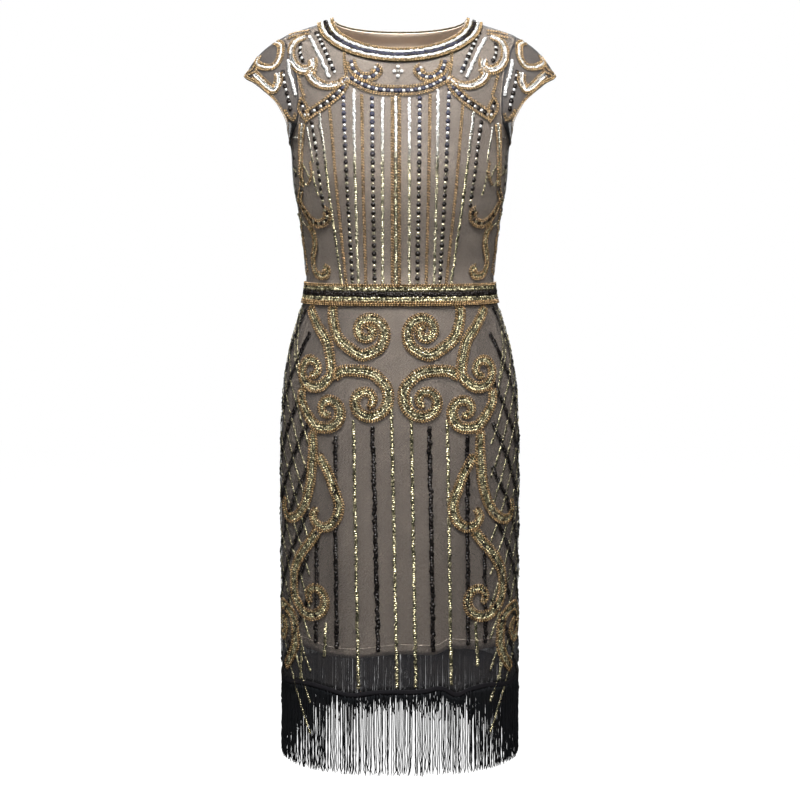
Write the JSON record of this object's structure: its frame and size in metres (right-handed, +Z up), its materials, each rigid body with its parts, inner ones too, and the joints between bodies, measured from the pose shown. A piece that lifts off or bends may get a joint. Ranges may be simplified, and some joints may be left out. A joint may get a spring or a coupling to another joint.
{
  "type": "fringed cap-sleeve sheath dress",
  "caption": "Knee-length beaded net sheath dress over a slip, with cap sleeves, a sequin neckband and waistband, and a corded fringe hem, filled out as when worn.",
  "frame": {"origin": "midway between the two shoulder seams, at the height of the neckline's sides, where the wearer's shoulders carry the dress", "axes": "+Z up, the dress hangs below the origin; -Y is the front; +X is the wearer's left"},
  "size_m": [0.436, 0.2547, 1.0573],
  "materials": {
    "net": "fine black net with gold and black sequin embroidery over a taupe slip",
    "slip": "matte taupe jersey",
    "sequins": "rows of gold and black sequins edged with gold beads",
    "fringe": "black twisted cord with a soft sheen"
  },
  "bodies": {
    "root": {"bodice_front": "net", "bodice_back": "net", "skirt_front": "net", "skirt_back": "net", "sleeve_left": "net", "sleeve_right": "net", "slip_front": "slip", "slip_back": "slip", "neckband": "sequins", "waistband": "sequins", "fringe_heading": "fringe", "fringe": "fringe"}
  },
  "joints": []
}
